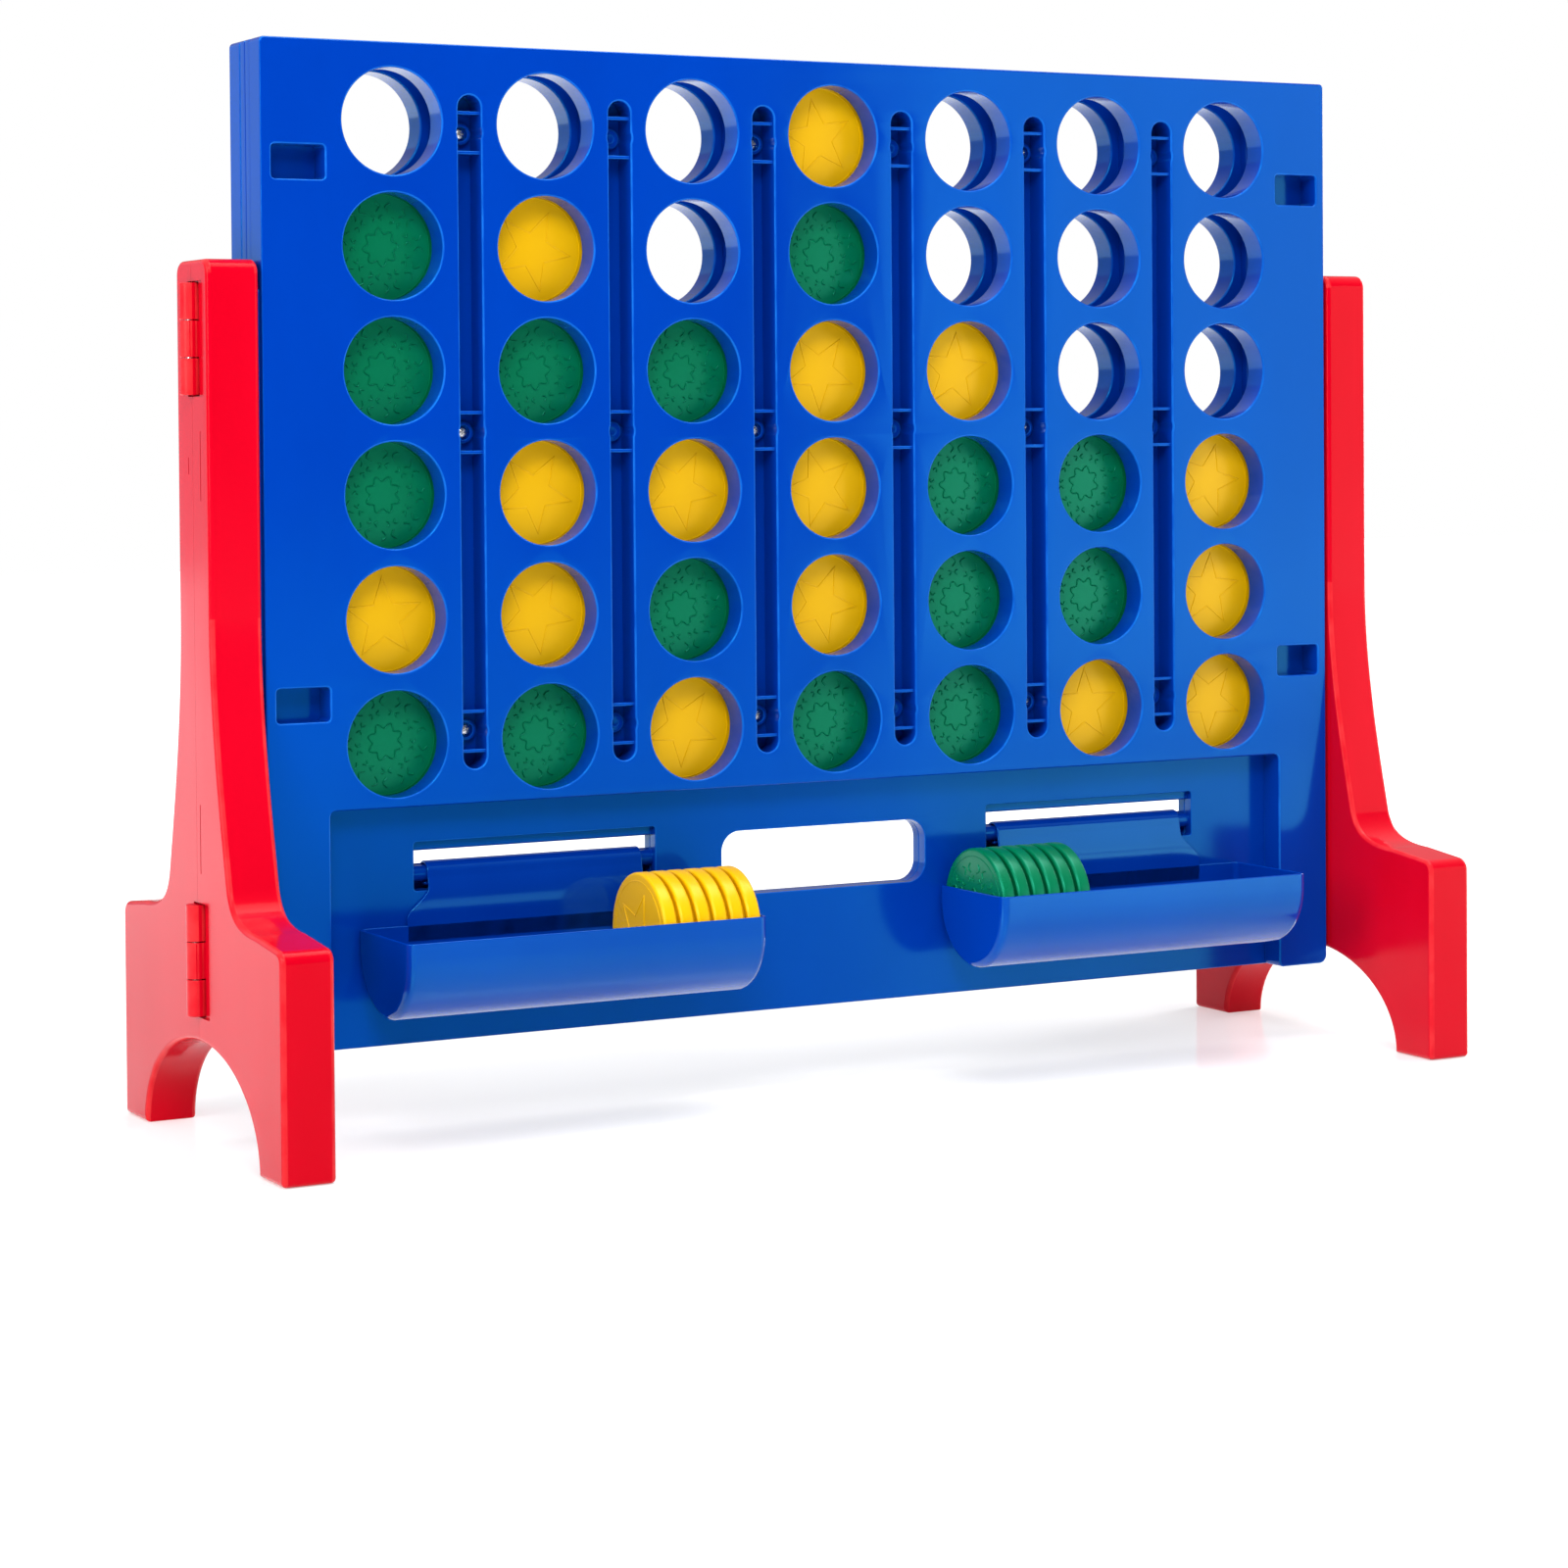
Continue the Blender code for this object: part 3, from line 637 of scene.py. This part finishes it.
def dense(path, steps):
    """The same closed path with each side cut into steps."""
    made = []
    for i, point in enumerate(path):
        a, b = Vector(point), Vector(path[(i + 1) % len(path)])
        made += [tuple(a.lerp(b, k / steps)) for k in range(steps)]
    return made


def star_beads():
    outer, inner = 0.0360, 0.0150
    points = []
    for k in range(10):
        angle = math.pi / 2 + math.pi * k / 5
        radius = inner if k % 2 else outer
        points.append((radius * math.cos(angle), radius * math.sin(angle)))
    star = bead(dense(points, 4), width=0.0014, height=0.0006)
    return [star, bead(circle(0, 0, 0.0455, 64), width=0.0012, height=0.0004)]


def sunburst_beads():
    """Rings of short dashes and small waves round a plain middle."""
    made = [bead(circle(0, 0, 0.0455, 64), width=0.0012, height=0.0004)]
    for count, near, far, shift in ((18, 0.0310, 0.0390, 0.0), (18, 0.0230, 0.0275, 0.5)):
        for k in range(count):
            angle = 2 * math.pi * (k + shift) / count
            bend = 0.10 if k % 2 else -0.10
            path = []
            for step in range(5):
                radius = near + (far - near) * step / 4
                turn = angle + bend * math.sin(math.pi * step / 4)
                path.append((radius * math.cos(turn), radius * math.sin(turn)))
            made.append(bead(path, width=0.0015, closed=False))
    petals = []
    for k in range(96):
        angle = 2 * math.pi * k / 96
        radius = 0.0140 + 0.0022 * math.cos(8 * angle)
        petals.append((radius * math.cos(angle), radius * math.sin(angle)))
    return made + [bead(petals, width=0.0014)]


def disc_mesh(slot):
    beads = star_beads() if slot == "yellow_disc" else sunburst_beads()
    disc = join(slot, [disc_body("disc"), *beads])
    disc.data.shade_smooth()
    disc.data.set_sharp_from_angle(angle=math.radians(50))
    mesh = disc.data
    mesh.materials.clear()
    mesh.materials.append(DISC_MATERIAL[slot])
    bpy.data.objects.remove(disc)
    return mesh


def discs():
    meshes = {slot: disc_mesh(slot) for slot in DISC_MATERIAL}
    nodes = [node for node in SLOTS if SLOTS[node] in meshes]
    for node in nodes:
        low, high = corners(node)
        across = high - low
        piece = linked(f"{node}_moulding", meshes[SLOTS[node]])
        spin = Matrix.Rotation(random.uniform(0, 2 * math.pi), 4, "Y")
        lie = Matrix.Rotation(math.pi / 2, 4, "Z") if across.x < across.y else Matrix.Identity(4)
        piece.matrix_world = Matrix.Translation((low + high) / 2) @ lie @ spin
        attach(piece, BODY_OF[node])
        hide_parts(node)


# ---- trays ------------------------------------------------------------------------
def tray_places(where):
    """The tray's box, the middle of its trough as (y, z), its outer radius and the rod's height."""
    low, high = corners(f"{where}_tray")
    discs_low, discs_high = corners(f"{where}_tray_disc_1")
    trough = (discs_low + discs_high) / 2
    return low, high, trough.y, trough.z, trough.y - low.y, middle(f"{where}_tray_rod").z


def trough_body(low, high, y, z, radius):
    """A tub with a round bottom, soft corners at its ends, and an even wall."""
    section = [(y - radius, z + TRAY_LIP)] + arc(y, z, radius, 180, 360, 28) + [(y + radius, z + TRAY_LIP)]
    shape = bmesh.new()
    ends = [[shape.verts.new((x, *point)) for point in section] for x in (low.x, high.x)]
    count = len(section)
    for i in range(count - 1):
        shape.faces.new((ends[0][i], ends[0][i + 1], ends[1][i + 1], ends[1][i]))
    caps = [shape.faces.new(ends[0]), shape.faces.new(ends[1])]
    bmesh.ops.recalc_face_normals(shape, faces=shape.faces)
    folds = [e for cap in caps for e in cap.edges if len(e.link_faces) == 2]
    bmesh.ops.bevel(shape, geom=folds, offset=0.0075, segments=5, affect="EDGES", profile=0.5)
    mesh = bpy.data.meshes.new("trough")
    shape.to_mesh(mesh)
    shape.free()
    tub = linked("trough", mesh)
    wall = tub.modifiers.new("wall", "SOLIDIFY")
    wall.thickness = TRAY_WALL
    wall.offset = -1
    wall.use_even_offset = True
    soft = tub.modifiers.new("soft", "BEVEL")
    soft.width = 0.0009
    soft.segments = 3
    soft.limit_method = "ANGLE"
    soft.angle_limit = math.radians(60)
    tub.data = evaluated_mesh(tub)
    tub.modifiers.clear()
    return tub


def hanger_sheet(x, y, z, radius, rod_z, roll):
    """The back leaf: it rises from the trough, narrows in two curves and rolls over the rod."""
    outer = roll - TRAY_WALL / 2
    back = y + radius - TRAY_WALL / 2
    path = [(back, z - 0.012), (back, z + TRAY_LIP)]
    path += bezier((back, z + TRAY_LIP), (back, rod_z - 0.030), (back - 0.001, rod_z - 0.018),
                   (-outer, rod_z - 0.002), 16)
    path += arc(0, rod_z, outer, 180, -110, 26)[1:]
    lip, narrow = z + TRAY_LIP, HANGER_LENGTH / 2
    shape = bmesh.new()
    rows = []
    for u, v in path:
        rise = max(0.0, min(1.0, (v - lip) / (rod_z - outer - lip))) if u < 0 else 1.0
        ease = max(0.0, min(1.0, (0.95 - rise) / 0.80))
        half = narrow + HANGER_FLARE * ease * ease * (3 - 2 * ease)
        rows.append([shape.verts.new((x + half * k / 12, u, v)) for k in range(-12, 13)])
    for a, b in zip(rows, rows[1:]):
        for k in range(24):
            shape.faces.new((a[k], a[k + 1], b[k + 1], b[k]))
    mesh = bpy.data.meshes.new("hanger")
    shape.to_mesh(mesh)
    shape.free()
    sheet = linked("hanger", mesh)
    wall = sheet.modifiers.new("wall", "SOLIDIFY")
    wall.thickness = TRAY_WALL
    wall.offset = 0
    wall.use_even_offset = True
    soft = sheet.modifiers.new("soft", "BEVEL")
    soft.width = 0.0009
    soft.segments = 3
    soft.limit_method = "ANGLE"
    soft.angle_limit = math.radians(60)
    sheet.data = evaluated_mesh(sheet)
    sheet.modifiers.clear()
    return sheet


def window_details(where, x, rod_z):
    """The soffit bar under a window's top edge, and the strip behind the rod."""
    top = SHELF_Z - WINDOW_DROP
    ends = (x - WINDOW[0] / 2, x + WINDOW[0] / 2)
    bar = on_front(f"{where}_window_soffit", [span_box(ends[0] - 0.001, ends[1] + 0.001,
                                                       top - SOFFIT, top + 0.001, 0.002)],
                   -0.0045, 0.0045, 0.0012)
    backing = on_front(f"{where}_window_backing", [span_box(ends[0] - 0.003, ends[1] + 0.003,
                       top - WINDOW[1] - 0.004, rod_z + ROD_RADIUS, 0.002)],
                       -CHANNEL_FACE - 0.0004, -CHANNEL_FACE + 0.0026, 0.0010)
    pieces = [bar, backing]
    for piece in pieces:
        shade(piece)
        piece.data.materials.append(BLUE)
        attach(piece, "board")


def trays():
    for where in ("left", "right"):
        low, high, y, z, radius, rod_z = tray_places(where)
        x = (low.x + high.x) / 2
        window_details(where, x, rod_z)
        roll = high.y
        tub = trough_body(low, high, y, z, radius)
        sheet = hanger_sheet(x, y, z, radius, rod_z, roll)
        tray = shade(join(f"{where}_tray_moulding", [tub, sheet]), 50)
        finish_piece(tray, f"{where}_tray", TRAY_BLUE)
        rod_low, rod_high = corners(f"{where}_tray_rod")
        length = rod_high.x - rod_low.x
        rod = turned(f"{where}_window_rod", bar_profile((rod_high.z - rod_low.z) / 2, length, 0.0012),
                     (rod_low.x, 0, rod_z), (1, 0, 0))
        finish_piece(shade(rod), f"{where}_tray_rod", BLUE)


# ---- feet -------------------------------------------------------------------------
def foot_loop(side, toe):
    """Half a foot from the side, carried a little past the seam, where it is cut flat."""
    past = -2 * FOOT_ROUND
    top_z = LEG_TOP
    top = arc(FOOT_UPRIGHT_HALF - FOOT_TOP_CORNER, top_z - FOOT_TOP_CORNER, FOOT_TOP_CORNER, 90, 0, 8)
    flare_end = (FOOT_UPRIGHT_HALF + 0.035, FILLET_TOP)
    flare = bezier((FOOT_UPRIGHT_HALF, FLARE_TOP), (FOOT_UPRIGHT_HALF, 0.36), (0.060, 0.28),
                   flare_end, 18)
    instep = bezier(flare_end, (0.079, 0.205), (0.095, 0.1955), (0.135, FOOT_HEIGHT), 16)
    corner = arc(toe - FOOT_TOE_CORNER, FOOT_HEIGHT - FOOT_FALL - FOOT_TOE_CORNER, FOOT_TOE_CORNER,
                 85, 0, 7)
    heel = arc(toe - 0.004, 0.004, 0.004, 0, -90, 4)
    turns = [math.pi / 2 * i / 24 for i in range(25)]
    arch = [(ARCH[0] * math.cos(a), ARCH[1] * math.sin(a)) for a in turns]
    outline = ([(past, top_z)] + top + [(FOOT_UPRIGHT_HALF, FLARE_TOP)] + flare + instep + corner
               + heel + arch + [(past, ARCH[1])])
    return [(side * y, z) for y, z in outline]


def seam_cut(obj, side):
    """Takes off what lies past the seam, and closes the cut."""
    shape = bmesh.new()
    shape.from_mesh(obj.data)
    geometry = list(shape.verts) + list(shape.edges) + list(shape.faces)
    done = bmesh.ops.bisect_plane(shape, geom=geometry, plane_co=(0, side * HALF_GAP, 0),
                                  plane_no=(0, side, 0), clear_inner=True)
    rim = [e for e in done["geom_cut"] if isinstance(e, bmesh.types.BMEdge)]
    bmesh.ops.holes_fill(shape, edges=rim, sides=0)
    bmesh.ops.recalc_face_normals(shape, faces=shape.faces)
    shape.to_mesh(obj.data)
    shape.free()


def upright(name, x, y, radius, low, high, chamfer=0.0006):
    return turned(name, bar_profile(radius, high - low, chamfer), (x, y, low), (0, 0, 1), 40)


def knuckle_spans(low, high):
    length = (high - low) / 3
    return [(low + i * length + KNUCKLE_GAP / 2, low + (i + 1) * length - KNUCKLE_GAP / 2)
            for i in range(3)]


def block(name, x_span, y_span, z_span, radius=0.0008):
    """A box with rounded corners, from spans along each axis in any order."""
    ends = sorted(x_span)
    loop = span_box(*sorted(y_span), *sorted(z_span), radius)
    return on_side(name, [loop], *ends, 0.0002, 1)


def foot_half(where, half):
    """One half of a foot with its knuckles, the hinge recess and its moulded slits."""
    x_side = -1 if where == "left" else 1
    y_side = -1 if half == "front" else 1
    node = f"{where}_foot_{half}"
    low, high = corners(node)
    pins = [corners(f"{where}_{level}_hinge_pin") for level in ("lower", "upper")]
    hinge_x = (pins[0][0].x + pins[0][1].x) / 2
    inner = x_side * LEG_INNER
    outer = hinge_x - x_side * HINGE_STANDOFF
    toe = max(abs(low.y), abs(high.y))
    foot = on_side(node + "_moulding", [foot_loop(y_side, toe)], *sorted((inner, outer)), FOOT_ROUND, 4)
    seam_cut(foot, y_side)
    own = (0, 2) if half == "back" else (1,)
    out = outer + x_side * 0.02
    reach = HINGE_RECESS_FRONT if half == "front" else KNUCKLE_RADIUS + KNUCKLE_ROOM
    for pin_low, pin_high in pins:
        bottom, top = pin_low.z, pin_high.z
        recess = block("recess", (outer - x_side * HINGE_RECESS, out), (-y_side * 0.01, y_side * reach),
                       (bottom - 0.001, top + 0.001), 0.0015)
        cut(foot, recess)
        for i, (z0, z1) in enumerate(knuckle_spans(bottom, top)):
            if i in own:
                knuckle = upright("knuckle", hinge_x, 0, KNUCKLE_RADIUS, z0, z1, 0.0009)
                leaf = block("leaf", (outer - x_side * 0.008, hinge_x + x_side * 0.004),
                             (0, y_side * 0.0085), (z0 + 0.0003, z1 - 0.0003), 0.0006)
                cut(foot, leaf, "UNION")
                cut(foot, knuckle, "UNION")
            else:
                cut(foot, upright("room", hinge_x, 0, KNUCKLE_RADIUS + KNUCKLE_ROOM,
                                  z0 - KNUCKLE_GAP, z1 + KNUCKLE_GAP, 0.0002))
        cut(foot, upright("bore", hinge_x, 0, PIN_RADIUS + 0.0003, bottom + PIN_COVER - 0.0003,
                          top - PIN_COVER + 0.0003, 0.0002))
        if half == "back":
            for part, length in ((0.17, 0.012), (0.5, 0.019), (0.83, 0.012)):
                z = bottom + (top - bottom) * part
                cut(foot, block("slit", (outer - x_side * 0.006, out),
                                (y_side * 0.0122, y_side * 0.0140),
                                (z - length / 2, z + length / 2), 0.0005))
    for y, z0, z1 in FOOT_SLITS[half]:
        cut(foot, block("slit", (outer - x_side * 0.005, out), (y_side * (y - 0.0008),
                        y_side * (y + 0.0008)), (z0, z1), 0.0005))
    mark_rims(foot, 0)
    finish_piece(shade(foot, 35), node, RED)


HINGE_STANDOFF = 0.0010
LEG_INNER = BOARD_HALF + 0.0030
LEG_TOP = corners("left_foot_back")[1].z
FOOT_SLITS = {"front": ((0.0186, 0.544, 0.602), (0.0090, 0.232, 0.290)),
              "back": ((0.0106, 0.566, 0.580),)}    # distance from the seam, bottom, top


def pins():
    for where in ("left", "right"):
        for level in ("lower", "upper"):
            node = f"{where}_{level}_hinge_pin"
            low, high = corners(node)
            centre = (low + high) / 2
            pin = upright(node + "_steel", centre.x, centre.y, (high.x - low.x) / 2,
                          low.z + PIN_COVER, high.z - PIN_COVER, 0.0008)
            finish_piece(shade(pin), node, STEEL)


# ---- studio -----------------------------------------------------------------------
CAMERA_PLACE = (-1.6453, -2.9522, 0.6042)
CAMERA_YAW = 28.628          # degrees from +Y towards +X
CAMERA_PITCH = -1.202
CAMERA_ROLL = -0.436
CAMERA_LENS = 84.98
CAMERA_RISE = -0.18          # vertical shift, which keeps the board's sides upright
DARK_SIDE = (-0.25, -0.95, 0.15)
WORLD_STRENGTH = 0.90
WHITE = (1.0, 1.0, 1.0)
LIGHTS = (("left_softbox", (-3.4, -0.9, 1.5), (1.4, 2.2), 84, WHITE),
          ("right_softbox", (3.4, 0.9, 1.4), (1.2, 2.2), 90, WHITE),
          ("right_front_softbox", (2.9, -3.0, 0.95), (2.0, 1.8), 30, WHITE),
          ("front_softbox", (-1.8, -3.3, 2.9), (1.8, 1.4), 130, WHITE),
          ("top_softbox", (0.4, -0.5, 3.2), (3.0, 1.8), 100, WHITE),
          ("back_left_softbox", (-1.9, 3.2, 1.0), (1.8, 2.2), 7, (0.25, 0.75, 1.0)))
FLOOR_GLOW = 0.38            # near the object
GLOW_RISE = (1.0, 2.2)       # from the middle, where the floor's glow rises to full
FLOOR_HALF = 12
FLOOR_DROP = 0.0005


def camera():
    data = bpy.data.cameras.new("camera")
    data.lens = CAMERA_LENS
    data.shift_y = CAMERA_RISE
    data.clip_end = 200
    obj = linked("camera", data)
    yaw = Matrix.Rotation(-math.radians(CAMERA_YAW), 4, "Z")
    pitch = Matrix.Rotation(math.pi / 2 + math.radians(CAMERA_PITCH), 4, "X")
    roll = Matrix.Rotation(math.radians(CAMERA_ROLL), 4, "Z")
    obj.matrix_world = Matrix.Translation(CAMERA_PLACE) @ yaw @ pitch @ roll
    bpy.context.scene.camera = obj


def area_light(name, place, target, size, power, colour=(1, 1, 1)):
    data = bpy.data.lights.new(name, "AREA")
    data.shape = "RECTANGLE"
    data.size, data.size_y = size
    data.energy = power
    data.color = colour
    obj = linked(name, data)
    aim = (Vector(target) - Vector(place)).to_track_quat("-Z", "Y").to_matrix().to_4x4()
    obj.matrix_world = Matrix.Translation(place) @ aim


def studio():
    """A white cove: brightest overhead, and darkest where the camera stands."""
    world = bpy.data.worlds.new("studio")
    bpy.context.scene.world = world
    world.use_nodes = True
    tree = world.node_tree
    cove = tree.nodes["Background"]
    cove.inputs["Strength"].default_value = WORLD_STRENGTH
    backdrop = tree.nodes.new("ShaderNodeBackground")
    backdrop.inputs["Color"].default_value = (1, 1, 1, 1)
    coordinates = tree.nodes.new("ShaderNodeTexCoord")
    shares = []
    for direction, dim, bright in ((DARK_SIDE, 1.0, 0.25), ((0, 0, 1), 0.35, 1.0)):
        aim = tree.nodes.new("ShaderNodeVectorMath")
        aim.operation = "DOT_PRODUCT"
        aim.inputs[1].default_value = direction
        tree.links.new(coordinates.outputs["Generated"], aim.inputs[0])
        share = tree.nodes.new("ShaderNodeMapRange")
        share.interpolation_type = "SMOOTHSTEP"
        share.inputs["From Min"].default_value = 0.2
        share.inputs["From Max"].default_value = 0.95
        share.inputs["To Min"].default_value = dim
        share.inputs["To Max"].default_value = bright
        tree.links.new(aim.outputs["Value"], share.inputs["Value"])
        shares.append(share.outputs["Result"])
    both = tree.nodes.new("ShaderNodeMath")
    both.operation = "MULTIPLY"
    for share, socket in zip(shares, both.inputs):
        tree.links.new(share, socket)
    tree.links.new(both.outputs["Value"], cove.inputs["Color"])
    path = tree.nodes.new("ShaderNodeLightPath")
    choose = tree.nodes.new("ShaderNodeMixShader")
    tree.links.new(path.outputs["Is Camera Ray"], choose.inputs[0])
    tree.links.new(cove.outputs[0], choose.inputs[1])
    tree.links.new(backdrop.outputs[0], choose.inputs[2])
    tree.links.new(choose.outputs[0], tree.nodes["World Output"].inputs["Surface"])
    for name, place, size, power, colour in LIGHTS:
        area_light(name, place, (0, 0, 0.4), size, power, colour)


def floor():
    """A glossy white floor, glowing more further off so that it meets the backdrop."""
    n = Nodes("white_floor")
    tone = n.noise(n.object_coordinates(), 1.2, 2.0)
    n.link(n.mix(n.remap(tone, 0.3, 0.7, 0.0, 1.0), (0.70, 0.70, 0.70), (0.73, 0.73, 0.725)),
           n.shader.inputs["Base Color"])
    n.link(n.remap(n.noise(n.object_coordinates(), 3.0, 3.0), 0.3, 0.7, 0.07, 0.12),
           n.shader.inputs["Roughness"])
    reach = n.add("ShaderNodeVectorMath", operation="LENGTH")
    n.link(n.object_coordinates(), reach.inputs[0])
    n.link(n.remap(reach.outputs["Value"], *GLOW_RISE, FLOOR_GLOW, 1.0),
           n.shader.inputs["Emission Color"])
    n.shader.inputs["Emission Strength"].default_value = 1.0
    shape = bmesh.new()
    bmesh.ops.create_grid(shape, x_segments=1, y_segments=1, size=FLOOR_HALF)
    mesh = bpy.data.meshes.new("floor")
    shape.to_mesh(mesh)
    shape.free()
    mesh.materials.append(n.material)
    ground = linked("floor", mesh)
    ground.location.z = -FLOOR_DROP


random.seed(4)
bpy.context.scene.view_settings.view_transform = "Standard"
camera()
studio()
floor()
board()
discs()
trays()
for foot in ("left", "right"):
    foot_half(foot, "front")
    foot_half(foot, "back")
pins()
